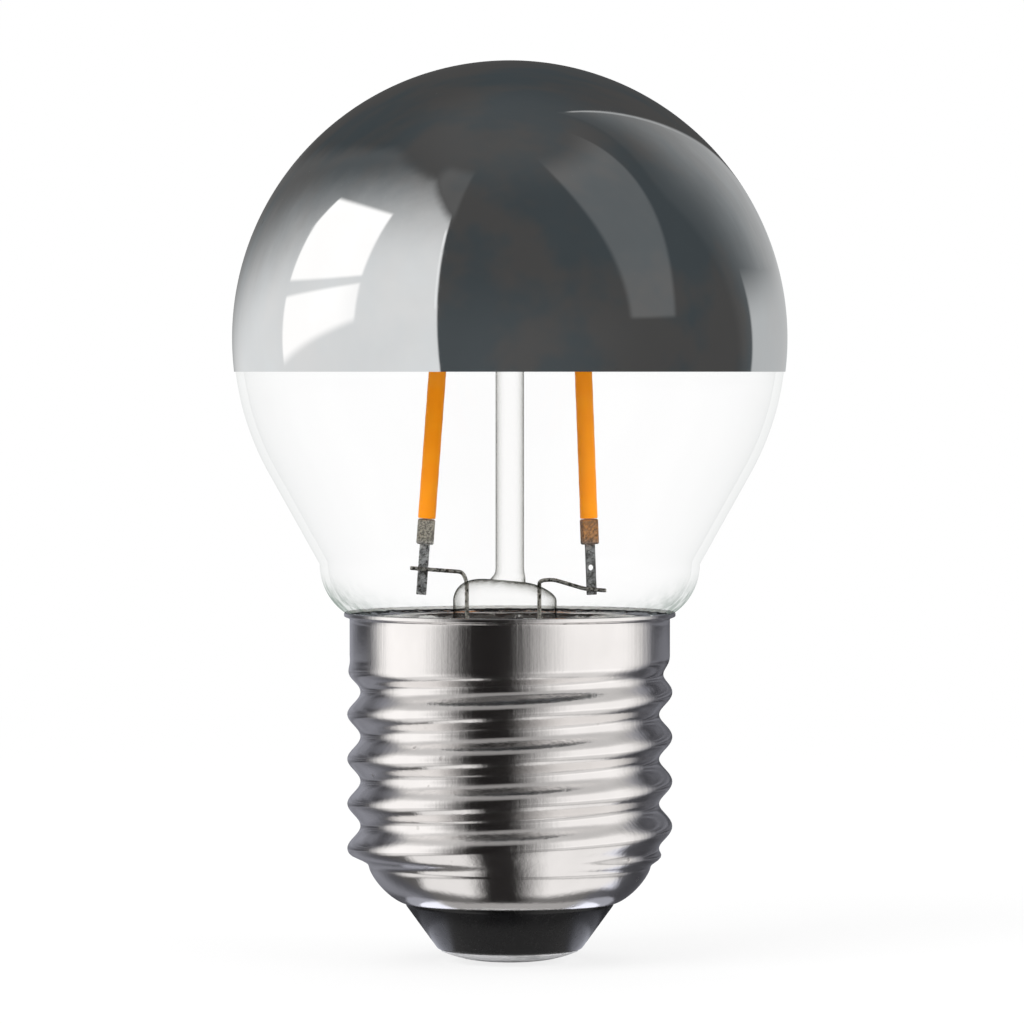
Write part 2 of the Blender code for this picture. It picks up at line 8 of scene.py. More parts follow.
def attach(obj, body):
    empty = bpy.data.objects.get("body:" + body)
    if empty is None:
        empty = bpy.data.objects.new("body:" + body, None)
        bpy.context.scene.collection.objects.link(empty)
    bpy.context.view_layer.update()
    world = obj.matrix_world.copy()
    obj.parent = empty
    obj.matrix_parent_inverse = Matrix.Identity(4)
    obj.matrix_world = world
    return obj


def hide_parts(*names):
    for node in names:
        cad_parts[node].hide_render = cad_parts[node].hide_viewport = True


# Half-silvered golf-ball lamp with two LED filaments and an E27 cap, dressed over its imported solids.
# Lengths in the dictionaries are millimetres and angles degrees; makePiece turns them into metres.
# Patterns read Object coordinates, which are metres, so a noise of scale 1000 has grains of about 1 mm.

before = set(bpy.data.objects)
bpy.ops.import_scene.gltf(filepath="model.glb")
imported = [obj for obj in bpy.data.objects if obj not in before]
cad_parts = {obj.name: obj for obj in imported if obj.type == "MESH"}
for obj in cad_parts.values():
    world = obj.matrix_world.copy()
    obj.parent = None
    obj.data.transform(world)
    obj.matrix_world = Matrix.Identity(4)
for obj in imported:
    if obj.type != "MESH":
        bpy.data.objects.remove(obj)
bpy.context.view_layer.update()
print("frame loaded:", len(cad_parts), "solids")

mm = 0.001


# ---- arithmetic on shader sockets ----

def plug(tree, socket, value):
    # a link where the value is a signal, a set number or colour where it isn't
    if isinstance(value, Signal):
        tree.links.new(value.socket, socket)
    elif isinstance(value, (tuple, list)) and len(value) == 3 and socket.type == "RGBA":
        socket.default_value = (*value, 1.0)
    else:
        socket.default_value = value


def addNode(tree, kind, settings=None, sockets=None, output=0):
    # any node: its type, its settings first, then the values or links of its sockets
    node = tree.nodes.new(kind)
    for key, value in (settings or {}).items():
        setattr(node, key, value)
    for key, value in (sockets or {}).items():
        plug(tree, node.inputs[key], value)
    return Signal(tree, node.outputs[output])


class Signal:
    # one output socket; an expression on it adds Math nodes

    def __init__(self, tree, socket):
        self.tree = tree
        self.socket = socket

    def math(self, operation, *terms):
        return addNode(self.tree, "ShaderNodeMath", {"operation": operation}, dict(enumerate(terms)))

    def __add__(self, other):
        return self.math("ADD", self, other)

    def __sub__(self, other):
        return self.math("SUBTRACT", self, other)

    def __rsub__(self, other):
        return self.math("SUBTRACT", other, self)

    def __mul__(self, other):
        return self.math("MULTIPLY", self, other)

    def __truediv__(self, other):
        return self.math("DIVIDE", self, other)

    def __pow__(self, other):
        return self.math("POWER", self, other)

    __radd__ = __add__
    __rmul__ = __mul__

    def above(self, other):
        return self.math("MAXIMUM", self, other)

    def below(self, other):
        return self.math("MINIMUM", self, other)

    def size(self):
        return self.math("ABSOLUTE", self)

    def sine(self):
        return self.math("SINE", self)

    def step(self, low, high, start=0.0, end=1.0):
        # smooth run from start to end while the signal goes from low to high
        return addNode(self.tree, "ShaderNodeMapRange", {"interpolation_type": "SMOOTHSTEP"},
                       {"Value": self, "From Min": low, "From Max": high, "To Min": start, "To Max": end})

    def run(self, places):
        # smooth run from 0 to 1 from the first to the second of two places in millimetres
        return self.step(places[0] * mm, places[1] * mm)


class Finish:
    # a material under construction; its patterns read Object coordinates

    def __init__(self, name):
        self.material = bpy.data.materials.new(name)
        self.material.use_nodes = True
        self.tree = self.material.node_tree
        self.tree.nodes.clear()
        self.place = self.node("ShaderNodeTexCoord", output=3)

    def node(self, kind, settings=None, sockets=None, output=0):
        return addNode(self.tree, kind, settings, sockets, output)

    def axes(self):
        parts = self.node("ShaderNodeSeparateXYZ", None, {0: self.place})
        return [Signal(self.tree, socket) for socket in parts.socket.node.outputs]

    def reach(self):
        # distance from the lamp's axis, in metres
        x, y = self.axes()[:2]
        return (x * x + y * y) ** 0.5

    def stretched(self, x, y, z):
        return self.node("ShaderNodeMapping", None, {"Vector": self.place, "Scale": (x, y, z)})

    def noise(self, scale, detail=2.0, roughness=0.5, place=None):
        return self.node("ShaderNodeTexNoise", None, {"Vector": place or self.place, "Scale": scale,
                                                      "Detail": detail, "Roughness": roughness})

    def spots(self, scale, radius):
        # 1 in the middle of scattered round spots, 0 outside them
        far = self.node("ShaderNodeTexVoronoi", None, {"Vector": self.place, "Scale": scale})
        return far.step(radius, radius * 0.4)

    def blend(self, mask, first, second):
        return self.node("ShaderNodeMix", {"data_type": "RGBA"}, {0: mask, 6: first, 7: second}, 2)

    def bump(self, height, depth, under=None):
        # depth is how high, in millimetres, the signal's full swing stands
        sockets = {"Height": height, "Distance": depth * mm}
        if under:
            sockets["Normal"] = under
        return self.node("ShaderNodeBump", None, sockets)

    def glossy(self, **sockets):
        # a Principled shader; socket names are written with _ for spaces
        return self.node("ShaderNodeBsdfPrincipled", None, {key.replace("_", " "): v for key, v in sockets.items()})

    def either(self, mask, first, second):
        return self.node("ShaderNodeMixShader", None, {0: mask, 1: first, 2: second})

    def done(self, surface):
        out = self.tree.nodes.new("ShaderNodeOutputMaterial")
        self.tree.links.new(surface.socket, out.inputs["Surface"])
        return self.material


# ---- surfaces ----

def smooth(value, low, high):
    # 3t^2 - 2t^3 with t from 0 at low to 1 at high
    t = np.clip((value - low) / (high - low), 0.0, 1.0)
    return t * t * (3 - 2 * t)


def makePiece(name, points, faces, material, crease=40):
    # mesh from points in millimetres, turned outwards if its signed volume, the sum of a.(b x c) over its faces, is
    # below 0; an edge sharper than crease degrees stays sharp
    a, b, c = (points[np.array([face[i] for face in faces])] for i in range(3))
    if np.einsum("ij,ij->", a, np.cross(b, c)) < 0:
        faces = [face[::-1] for face in faces]
    mesh = bpy.data.meshes.new(name)
    mesh.from_pydata((points * mm).tolist(), [], faces)
    mesh.shade_smooth()
    mesh.set_sharp_from_angle(angle=math.radians(crease))
    mesh.materials.append(material)
    piece = bpy.data.objects.new(name, mesh)
    bpy.context.scene.collection.objects.link(piece)
    return piece


def gridFaces(rows, columns, wrapRows=False):
    # quads (i, j), (i + 1, j), (i + 1, j + 1), (i, j + 1) of a grid that closes round its columns
    i = np.arange(rows if wrapRows else rows - 1)[:, None]
    j = np.arange(columns)[None, :]
    down, along = (i + 1) % rows * columns, (j + 1) % columns
    corners = np.broadcast_arrays(i * columns + j, down + j, down + along, i * columns + along)
    return np.stack(corners, axis=-1).reshape(-1, 4)


def makeGrid(name, grid, material, replaced, poles=None, wrapRows=False, crease=40):
    # piece of the lamp from a grid of points, closed round its columns, and by its rows or by a pole at each end
    rows, columns = grid.shape[:2]
    points = grid.reshape(-1, 3)
    faces = gridFaces(rows, columns, wrapRows).tolist()
    if poles is not None:
        first, last = len(points), len(points) + 1
        points = np.vstack([points, poles])
        j = np.arange(columns)
        k = (j + 1) % columns
        faces += np.stack([np.full(columns, first), j, k], axis=1).tolist()
        end = (rows - 1) * columns
        faces += np.stack([end + j, np.full(columns, last), end + k], axis=1).tolist()
    piece = makePiece(name, points, faces, material, crease)
    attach(piece, "root")
    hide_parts(*replaced)
    return piece


def turnLine(line, segments):
    # surface of revolution, P(s, t) = (r(s) cos t, r(s) sin t, z(s))
    t = np.arange(segments) / segments * 2 * math.pi
    r, z = line[:, 0, None], line[:, 1, None]
    return np.stack(np.broadcast_arrays(r * np.cos(t), r * np.sin(t), z), axis=-1)


def arcLine(centreR, centreZ, radius, start, end, steps):
    # (centreR + radius cos t, centreZ + radius sin t) for t from start to end
    t = np.radians(np.linspace(start, end, steps + 1))
    return np.stack([centreR + radius * np.cos(t), centreZ + radius * np.sin(t)], axis=1)


def offsetLine(line, distance):
    # each point moved along the mitre m of the normals a and b of its two sides, m = (a + b) / ((a + b) . a); to the
    # right of the way the line runs
    ahead = np.diff(line, axis=0)
    ahead /= np.linalg.norm(ahead, axis=1)[:, None]
    side = np.stack([ahead[:, 1], -ahead[:, 0]], axis=1)
    before, after = np.vstack([side[:1], side]), np.vstack([side, side[-1:]])
    mitre = before + after
    mitre /= (mitre * before).sum(axis=1)[:, None]
    return line + mitre * distance


def roundLine(path, reach, steps):
    # each inner corner c becomes a(1-t)^2 + 2c t(1-t) + b t^2, with a and b up to reach away on its two sides
    path = np.asarray(path, float)
    corner = path[1:-1]
    back, ahead = path[:-2] - corner, path[2:] - corner
    backLong, aheadLong = (np.linalg.norm(v, axis=1)[:, None] for v in (back, ahead))
    near = np.minimum(reach, 0.48 * np.minimum(backLong, aheadLong))
    a, b = corner + back / backLong * near, corner + ahead / aheadLong * near
    t = np.linspace(0, 1, steps + 1)[None, :, None]
    curves = a[:, None] * (1 - t) ** 2 + corner[:, None] * 2 * t * (1 - t) + b[:, None] * t * t
    return np.vstack([path[:1], curves.reshape(-1, path.shape[1]), path[-1:]])


def evenLine(path, spacing):
    # the path at equal steps along its length
    run = np.concatenate([[0], np.cumsum(np.linalg.norm(np.diff(path, axis=0), axis=1))])
    at = np.linspace(0, run[-1], max(int(run[-1] / spacing), 2) + 1)
    return np.stack([np.interp(at, run, path[:, k]) for k in range(path.shape[1])], axis=1), at


def tubeGrid(path, radius, sides, spacing):
    # P(s, t) = C(s) + radius (cos t N + sin t B), with T the path's direction, N = Y less its part along T, B = T x N
    line, at = evenLine(np.asarray(path, float), spacing)
    ahead = np.gradient(line, axis=0)
    ahead /= np.linalg.norm(ahead, axis=1)[:, None]
    upright = np.array([0.0, 1.0, 0.0])
    normal = upright - (ahead @ upright)[:, None] * ahead
    normal /= np.linalg.norm(normal, axis=1)[:, None]
    across = np.cross(ahead, normal)
    t = np.arange(sides) / sides * 2 * math.pi
    ends = np.minimum(at, at[-1] - at)
    thick = radius * (0.72 + 0.28 * smooth(ends, 0, radius * 0.6))[:, None, None]
    ring = np.cos(t)[None, :, None] * normal[:, None] + np.sin(t)[None, :, None] * across[:, None]
    return line[:, None] + thick * ring, line[[0, -1]]


# ---- finishes ----

# marks on the cap and its cement: the inside of the rim with its painted shade and pale crust, and the cement's
# painted shade near x = 0; radii, heights and half widths
marks = {"rimInside": (13.36, 13.28), "rimShade": (27.90, 28.02), "crust": (28.17, 28.23), "gapShade": (27.50, 27.70),
         "gapShadeWide": (9.5, 6.5), "centreShadeWide": (7.0, 4.5)}


def silverCoat():
    # evaporated silver under lacquer: faint clouding, a slow ripple that bends reflections, a few pinholes
    look = Finish("silver coat")
    cloud = look.noise(90, 4, 0.6)
    haze = look.noise(420, 3, 0.65)
    specks = look.spots(170, 0.055) * look.noise(70, 1).step(0.52, 0.58)
    tone = look.blend(cloud.step(0.35, 0.7), (0.79, 0.79, 0.79), (0.82, 0.83, 0.835))
    tone = look.blend(specks * 0.75, tone, (0.30, 0.29, 0.28))
    rough = 0.025 + 0.05 * haze.step(0.45, 0.8) + 0.3 * specks
    normal = look.bump(look.noise(160, 2), 0.0035)
    normal = look.bump(look.noise(1500, 2) + specks * 2.0, 0.0002, normal)
    return look.done(look.glossy(Base_Color=tone, Metallic=1.0, Roughness=rough, Normal=normal))


def thinGlass(name, glass):
    # glass whose walls are modelled, so each wall lets light straight through, dims at its limb and shines by its
    # slant; between the two heights of thickens it grows thicker and so dims more
    look = Finish(name)
    slant = look.node("ShaderNodeLayerWeight", None, {"Blend": 0.5}, 1)
    ripple = look.noise(glass["waves"], 2)
    cord = look.noise(glass["waves"] * 4, 3, 0.6, look.stretched(1, 1, 0.5)).step(0.36, 0.66)
    clear = look.node("ShaderNodeBsdfTransparent", None, {"Color": glass["tint"]})
    dim = look.node("ShaderNodeBsdfTransparent", None, {"Color": glass["edgeTint"]})
    low = look.axes()[2].run(glass["thickens"])
    heavy = low * slant ** glass["thickPower"] * glass["thick"] * (0.35 + 1.3 * cord)
    limb = slant ** glass["edgePower"] * glass["edge"] * (0.85 + 0.3 * ripple)
    inner = look.node("ShaderNodeAttribute", {"attribute_name": "innerWall"}, output=2)
    body = look.either(((limb + heavy) * (1 - 0.8 * inner)).below(1.0), clear, dim)
    normal = look.bump(ripple, 0.004)
    smudge = look.noise(260, 4, 0.6)
    shine = look.glossy(Base_Color=look.blend(smudge, (0.95, 0.97, 0.96), (0.98, 0.98, 0.98)), Metallic=1.0,
                        Roughness=0.02 + 0.05 * smudge.step(0.5, 0.8), Normal=normal)
    return look.done(look.either(glass["gloss"] + glass["edgeGloss"] * slant ** 5, body, shine))


def nickelPlate():
    # drawn and plated brass: fine orange peel, draw marks up the wall, dull speckles; inside the rim a painted shade
    # that turns the nickel near black and dull, thinner towards the sides, and a pale crust over it
    look = Finish("nickel plate")
    x, z = look.axes()[::2]
    peel = look.noise(3000, 3, 0.65)
    drawn = look.noise(2100, 2, 0.6, look.stretched(1, 1, 0.05))
    cloud = look.noise(140, 3, 0.6)
    specks = look.spots(420, 0.10) * look.noise(160, 1).step(0.5, 0.6)
    tone = look.blend(cloud.step(0.3, 0.7), (0.80, 0.785, 0.775), (0.86, 0.845, 0.835))
    tone = look.blend(specks * 0.5, tone, (0.42, 0.40, 0.38))
    lump = look.noise(1100, 3, 0.7) - 0.5
    # painted shade: inside the rim, from about 28 mm up to the crust, the nickel is made near black and dull; the
    # band's lower edge rises towards the sides, where x is larger
    climb = z - x.size() * 0.010 + lump * 0.0006
    inside = (look.reach() + lump * 0.0004).run(marks["rimInside"])
    crust = inside * (z + lump * 0.0002).run(marks["crust"])
    rimShade = inside * climb.run(marks["rimShade"]) * (1 - crust)
    tone = look.blend(rimShade * 0.97, tone, (0.030, 0.028, 0.026))
    tone = look.blend(crust * 0.9, tone, (0.86, 0.87, 0.85))
    rough = 0.09 + 0.06 * peel + 0.05 * cloud + 0.2 * specks + 0.4 * rimShade.above(crust)
    normal = look.bump(drawn, 0.011)
    normal = look.bump(peel - specks, 0.006, normal)
    return look.done(look.glossy(Base_Color=tone, Metallic=1 - 0.9 * crust, Roughness=rough, Normal=normal))


def blackGlass():
    # poured black glass, glossy with chill ripples and patches of dusty bloom
    look = Finish("black glass")
    ripple = look.noise(500, 3, 0.55)
    dust = look.noise(1800, 3, 0.7).step(0.56, 0.75)
    tone = look.blend(dust * 0.4, (0.0055, 0.0055, 0.006), (0.020, 0.019, 0.018))
    rough = 0.20 + 0.14 * ripple + 0.2 * dust
    return look.done(look.glossy(Base_Color=tone, Roughness=rough, IOR=1.42, Normal=look.bump(ripple, 0.010)))


def solderTin(name, stainTone, shine, wrinkleDeep):
    # tin: bright skin with flux stain and cooling wrinkles; shine is its metal share
    look = Finish(name)
    wrinkle = look.noise(1300, 4, 0.65)
    stain = look.noise(520, 3, 0.6).step(0.50, 0.68)
    tone = look.blend(stain * 0.75, (0.80, 0.80, 0.81), stainTone)
    metal = shine - 0.5 * stain * shine
    return look.done(look.glossy(Base_Color=tone, Metallic=metal, Roughness=0.3 + 0.25 * wrinkle,
                                 Normal=look.bump(wrinkle, wrinkleDeep)))


def capCement():
    # baked mineral cement: pale body with grains; a painted shade makes it near black near x = 0, at the front and
    # back, under the rim
    look = Finish("cement")
    x, z = look.axes()[::2]
    lump = look.noise(900, 4, 0.7)
    grain = look.spots(2600, 0.3)
    # painted shade: near x = 0, at the front and back, the cement goes near black above about 27.6 mm, and in mottled
    # patches lower down, standing in for the shaded gap under the rim
    gapShade = (z + (lump - 0.5) * 0.0010).run(marks["gapShade"]) * x.size().run(marks["gapShadeWide"])
    centreShade = x.size().run(marks["centreShadeWide"]) * lump.step(0.26, 0.42) * 0.95
    tone = look.blend(lump.step(0.35, 0.7), (0.84, 0.83, 0.81), (0.93, 0.92, 0.91))
    tone = look.blend(gapShade.above(centreShade), tone, (0.030, 0.026, 0.024))
    tone = look.blend(grain * 0.25, tone, (0.45, 0.43, 0.40))
    normal = look.bump(lump + grain * 0.3, 0.06)
    return look.done(look.glossy(Base_Color=tone, Roughness=0.72 + 0.2 * lump, Normal=normal, IOR=1.25))


def amberSilicone():
    # phosphor in silicone: grainy orange, with a painted sheen that pales it towards its limb
    look = Finish("amber silicone")
    grain = look.noise(5200, 3, 0.7)
    flow = look.noise(700, 2, 0.5)
    slant = look.node("ShaderNodeLayerWeight", None, {"Blend": 0.45}, 1)
    tone = look.blend(flow.step(0.3, 0.7), (1.0, 0.305, 0.002), (1.0, 0.330, 0.004))
    tone = look.blend(grain.step(0.52, 0.8) * 0.3, tone, (0.88, 0.235, 0.001))
    # painted sheen: the orange is lightened where the bead is seen edge-on
    tone = look.blend(slant ** 3 * 0.8, tone, (0.95, 0.58, 0.22))
    normal = look.bump(flow, 0.03)
    normal = look.bump(grain, 0.006, normal)
    return look.done(look.glossy(Base_Color=tone, Roughness=0.55 + 0.2 * grain, Normal=normal, IOR=1.22))


def ceramicStrip():
    # fired white ceramic with chalky grain and handling marks
    look = Finish("ceramic")
    grain = look.noise(4200, 3, 0.6)
    mark = look.noise(800, 2).step(0.58, 0.7)
    tone = look.blend(mark * 0.3, look.blend(grain, (0.74, 0.74, 0.70), (0.82, 0.82, 0.79)), (0.55, 0.53, 0.48))
    return look.done(look.glossy(Base_Color=tone, Roughness=0.5 + 0.25 * grain, Normal=look.bump(grain, 0.004)))


def steelTab(name, light, stain, stainTones):
    # stamped sheet: rolled grain, pits and dull oxide between bright grains, and a stain on the clip near the coat
    look = Finish(name)
    rolled = look.noise(2600, 3, 0.6, look.stretched(1, 1, 0.15))
    blotch = look.noise(1700, 4, 0.7)
    pits = look.noise(5200, 3, 0.75)
    stained = (look.axes()[2] + (blotch - 0.5) * 0.0014).run(stain) * 0.9
    tone = look.blend(blotch.step(0.36, 0.60), tuple(0.33 * v for v in light), light)
    tone = look.blend(pits.step(0.50, 0.58) * 0.9, tone, (0.040, 0.038, 0.032))
    tone = look.blend(stained, tone, look.blend(pits.step(0.40, 0.58), *stainTones))
    normal = look.bump(rolled, 0.006)
    normal = look.bump(blotch - pits * 0.5, 0.02, normal)
    return look.done(look.glossy(Base_Color=tone, Metallic=0.75 - stained * 0.7, Roughness=0.32 + 0.3 * blotch,
                                 Normal=normal))


def drawnWire(name, dark, light, grain):
    # drawn wire: lengthwise scratches, dull and bright patches of oxide
    look = Finish(name)
    patch = look.noise(grain, 4, 0.75)
    scratch = look.noise(grain * 3, 2, 0.5)
    tone = look.blend(patch.step(0.42, 0.58), dark, light)
    normal = look.bump(scratch, 0.004)
    return look.done(look.glossy(Base_Color=tone, Metallic=0.85, Roughness=0.25 + 0.3 * patch, Normal=normal))


def circuitBoard():
    # glass-fibre board under green mask: woven cloth in the bump, raised tracks as paler lines, dust
    look = Finish("board")
    x, z = look.axes()[::2]
    weave = (x * 9000).sine() * (z * 9000).sine()
    track = look.node("ShaderNodeTexBrick", {"offset": 0.4},
                      {"Vector": look.place, "Scale": 260.0, "Mortar Size": 0.03, "Color1": (0, 0, 0),
                       "Color2": (0, 0, 0), "Mortar": (1, 1, 1)}, 1)
    dust = look.noise(900, 4, 0.65)
    tone = look.blend(dust.step(0.3, 0.75), (0.018, 0.085, 0.030), (0.035, 0.130, 0.050))
    tone = look.blend(track * 0.5, tone, (0.07, 0.19, 0.07))
    normal = look.bump(weave + track * 3, 0.006)
    return look.done(look.glossy(Base_Color=tone, Roughness=0.32 + 0.25 * dust, Normal=normal))


def mouldedPlastic(name, dark, light, grain, gloss):
    # moulded or dipped part: grain in colour and skin, scuffed patches
    look = Finish(name)
    skin = look.noise(grain, 3, 0.6)
    scuff = look.noise(grain * 0.2, 4, 0.65).step(0.52, 0.74)
    tone = look.blend(scuff * 0.6, look.blend(skin, dark, light), tuple(0.5 * v + 0.12 for v in light))
    return look.done(look.glossy(Base_Color=tone, Roughness=gloss + 0.15 * skin + 0.2 * scuff,
                                 Normal=look.bump(skin, 0.008)))


silver = silverCoat()
nickel = nickelPlate()
clearGlass = thinGlass("clear glass", {
    "tint": (1.0, 1.0, 1.0), "edgeTint": (0.56, 0.61, 0.58), "edge": 0.16, "edgePower": 3.0,
    "thickens": (31.8, 28.9), "thick": 1.1, "thickPower": 4.0, "gloss": 0.006, "edgeGloss": 0.05, "waves": 260})
stemGlass = thinGlass("stem glass", {
    "tint": (1.0, 0.998, 0.994), "edgeTint": (0.09, 0.09, 0.065), "edge": 0.92, "edgePower": 1.8,
    "thickens": (31.4, 30.9), "thick": 0.45, "thickPower": 1.8, "gloss": 0.004, "edgeGloss": 0.10, "waves": 420})
wireNickel = drawnWire("nickel wire", (0.075, 0.070, 0.055), (0.60, 0.59, 0.54), 3000)
print("finishes made")


# ---- silver coat over the top half ----

crown = {"radius": 22.5, "centre": 50.6, "edge": 47.9, "coat": 0.08, "rows": 96, "segments": 192}


def crownLine(radius):
    # circle of the globe from just off the pole to the mirror's edge
    edge = math.degrees(math.asin((crown["edge"] - crown["centre"]) / radius))
    return arcLine(0.0, crown["centre"], radius, 90 - 90 / crown["rows"], edge, crown["rows"])


coatOut, coatIn = crownLine(crown["radius"]), crownLine(crown["radius"] - crown["coat"])
crownTop = crown["centre"] + crown["radius"]
makeGrid("mirrorCrown", turnLine(np.vstack([coatOut, coatIn[::-1]]), crown["segments"]), silver,
         ["mirror_crown"], poles=[(0, 0, crownTop), (0, 0, crownTop - crown["coat"])])
print("crown made")


# ---- glass envelope ----

globe = {"radius": 22.38, "centre": 50.6, "wall": 0.65, "waist": -29.7, "shoulderR": 10.62, "shoulderZ": 32.3,
         "shoulder": 4.8, "shoulderEnd": -53.0, "throat": ((1.05, 1.40), (0.32, 0.70)), "neck": 11.4,
         "neckTop": 26.6, "neckEnd": 19.0, "segments": 192}

# ball from the pole to the waist, straight cone to the shoulder, shoulder arc, throat and neck; throat holds two
# corners, as far out and up from the top of the neck
ball = arcLine(0.0, globe["centre"], globe["radius"], 89.0, globe["waist"], 84)
bend = arcLine(globe["shoulderR"], globe["shoulderZ"], globe["shoulder"], 0.0, globe["shoulderEnd"], 24)
t = np.linspace(0, 1, 14)[1:-1, None]
cone = ball[-1] * (1 - t) + bend[0] * t
corners = [(globe["neck"] + out, globe["neckTop"] + up) for out, up in globe["throat"]]
throat = roundLine([bend[-1], *corners, (globe["neck"], globe["neckTop"]), (globe["neck"], globe["neckEnd"])],
                   0.4, 5)[1:]
glassOut = np.vstack([ball, cone, bend, throat])
glassIn = offsetLine(glassOut, globe["wall"])
glassTop = globe["centre"] + globe["radius"]
envelope = makeGrid("glassEnvelope", turnLine(np.vstack([glassOut, glassIn[::-1]]), globe["segments"]), clearGlass,
                    ["glass_envelope"], poles=[(0, 0, glassTop), (0, 0, glassTop - globe["wall"])])
wallSide = np.append(np.repeat([0.0, 1.0], len(glassOut) * globe["segments"]), [0.0, 1.0])
envelope.data.attributes.new("innerWall", "FLOAT", "POINT").data.foreach_set("value", wallSide)
print("envelope made")


# ---- screw shell: a drawn cup pushed out and in along the helix ----

# groove holds the heights where the thread starts, is full, starts to fade and ends
shell = {"crest": 13.2, "root": 12.13, "pitch": 25.4 / 7, "crestZ": 14.66, "groove": (7.75, 8.8, 22.4, 25.0),
         "collar": 13.0, "collarEnd": 27.85, "rim": 13.45, "rimZ": 28.42, "bead": 0.32, "lipIn": 0.10,
         "lipDeep": 0.12, "foot": 11.45, "mouth": 8.62, "mouthZ": 4.82, "taper": 1.44, "sheet": 0.25,
         "segments": 224, "wallRows": 96}


def footLine(degrees):
    # r = mouth + (foot - mouth) cos(a)^p, z = top - (top - mouthZ) sin(a)^p, with p the taper
    a, top = np.radians(degrees), shell["groove"][0]
    across, down = np.maximum(np.cos(a), 0) ** shell["taper"], np.sin(a) ** shell["taper"]
    r = shell["mouth"] + (shell["foot"] - shell["mouth"]) * across
    return np.stack([r, top - (top - shell["mouthZ"]) * down], axis=1)


def shellGrid():
    # r(z, t) = wall(z) + (crest - root) / 2 cos(2 pi (z - crestZ) / pitch - t) share(z), with a bead above it and the
    # foot's bowl below; the inner face lies one sheet in along the normal
    low, lowFull, highFull, high = shell["groove"]
    middle = (shell["crest"] + shell["root"]) / 2
    rim = np.linspace(shell["rimZ"], shell["collarEnd"], 19)
    flare = smooth(rim, shell["collarEnd"], shell["rimZ"] - shell["bead"])
    rimR = shell["collar"] + (shell["rim"] - shell["collar"]) * flare
    rimR -= shell["lipIn"] * np.maximum(0, 1 - (shell["rimZ"] - rim) / shell["lipDeep"]) ** 2
    z = np.concatenate([np.linspace(shell["collarEnd"], high, 8)[1:], np.linspace(high, low, shell["wallRows"])[1:]])
    up, down = smooth(z, highFull, high), 1 - smooth(z, low, lowFull)
    wallR = middle + (shell["collar"] - middle) * up + (shell["foot"] - middle) * down
    bowl = footLine(np.linspace(0, 90, 28)[1:])
    height = np.concatenate([rim, z, bowl[:, 1]])[:, None]
    radius = np.concatenate([rimR, wallR, bowl[:, 0]])[:, None]
    share = (1 - smooth(height, highFull, high)) * smooth(height, low, lowFull)
    turn = np.arange(shell["segments"])[None, :] / shell["segments"] * 2 * math.pi
    wave = np.cos(2 * math.pi * (height - shell["crestZ"]) / shell["pitch"] - turn)
    radius = radius + (shell["crest"] - shell["root"]) / 2 * wave * share
    outside = np.stack(np.broadcast_arrays(radius * np.cos(turn), radius * np.sin(turn), height), axis=-1)
    across = np.cross(np.gradient(outside, axis=0), np.roll(outside, -1, axis=1) - np.roll(outside, 1, axis=1))
    across /= np.linalg.norm(across, axis=2)[..., None]
    inside = outside - shell["sheet"] * across
    lip = (outside[:1] + inside[:1]) / 2 + np.array([0, 0, shell["sheet"] * 0.3])
    return np.concatenate([lip, outside, inside[::-1]])


makeGrid("screwShell", shellGrid(), nickel, ["cap_shell"], wrapRows=True, crease=50)
print("shell made")


# ---- insulator ----

button = {"bore": 1.75, "floor": 6.4, "shelf": ((6.6, 0.0), (9.4, 0.6)), "seatEdge": (-0.3, 0.2), "neck": 8.45,
          "tip": 5.945, "tipZ": 1.05, "chamfer": 0.14, "gap": 0.12}

# from the bore over its upper face, down inside the shell's bowl, through the mouth and down a cone to the tip
seat = offsetLine(footLine(np.linspace(18, 74, 12)), shell["sheet"] + button["gap"])
buttonLine = roundLine(np.vstack([
    [(button["bore"], button["floor"])], [(r, button["floor"] + up) for r, up in button["shelf"]],
    seat[:1] + button["seatEdge"], seat,
    [(button["neck"], shell["mouthZ"] + shell["sheet"] + button["gap"]), (button["neck"], shell["mouthZ"] - 0.2),
     (button["tip"], button["tipZ"] + button["chamfer"]), (button["tip"] - button["chamfer"], button["tipZ"]),
     (button["bore"], button["tipZ"])]]), 0.12, 3)
makeGrid("capInsulator", turnLine(buttonLine, 128), blackGlass(), ["cap_insulator"], wrapRows=True)
print("insulator made")


# ---- centre contact and its drop of solder ----

contact = {"radius": 5.58, "hole": 1.45, "low": 0.1, "rim": 0.90, "curve": 2.2, "sheet": 0.12}

# dish z = low + (rim - low) s^curve, with s from 0 at the hole to 1 at the edge
dishR = np.linspace(contact["radius"], contact["hole"], 18)
share = (dishR - contact["hole"]) / (contact["radius"] - contact["hole"])
dishZ = contact["low"] + (contact["rim"] - contact["low"]) * share ** contact["curve"]
dish = np.stack([dishR, dishZ], axis=1)
edge = np.array([[contact["radius"] - 0.03, contact["rim"] + contact["sheet"]],
                 [contact["radius"], contact["rim"] + contact["sheet"] * 0.8]])
dishLine = np.vstack([edge, dish, (dish + [0, contact["sheet"]])[::-1][:-1]])
contactTin = solderTin("tinned contact", (0.46, 0.46, 0.46), 0.25, 0.02)
makeGrid("contactPlate", turnLine(dishLine, 96), contactTin, ["contact_plate"], wrapRows=True)

solder = {"line": [(0.9, 0.95), (1.25, 0.85), (1.35, 0.7), (1.35, 0.35), (1.36, 0.13), (1.33, 0.07), (1.25, 0.03),
                   (1.12, 0.008), (0.9, 0.0), (0.45, 0.0)], "skirt": 0.2, "segments": 72}


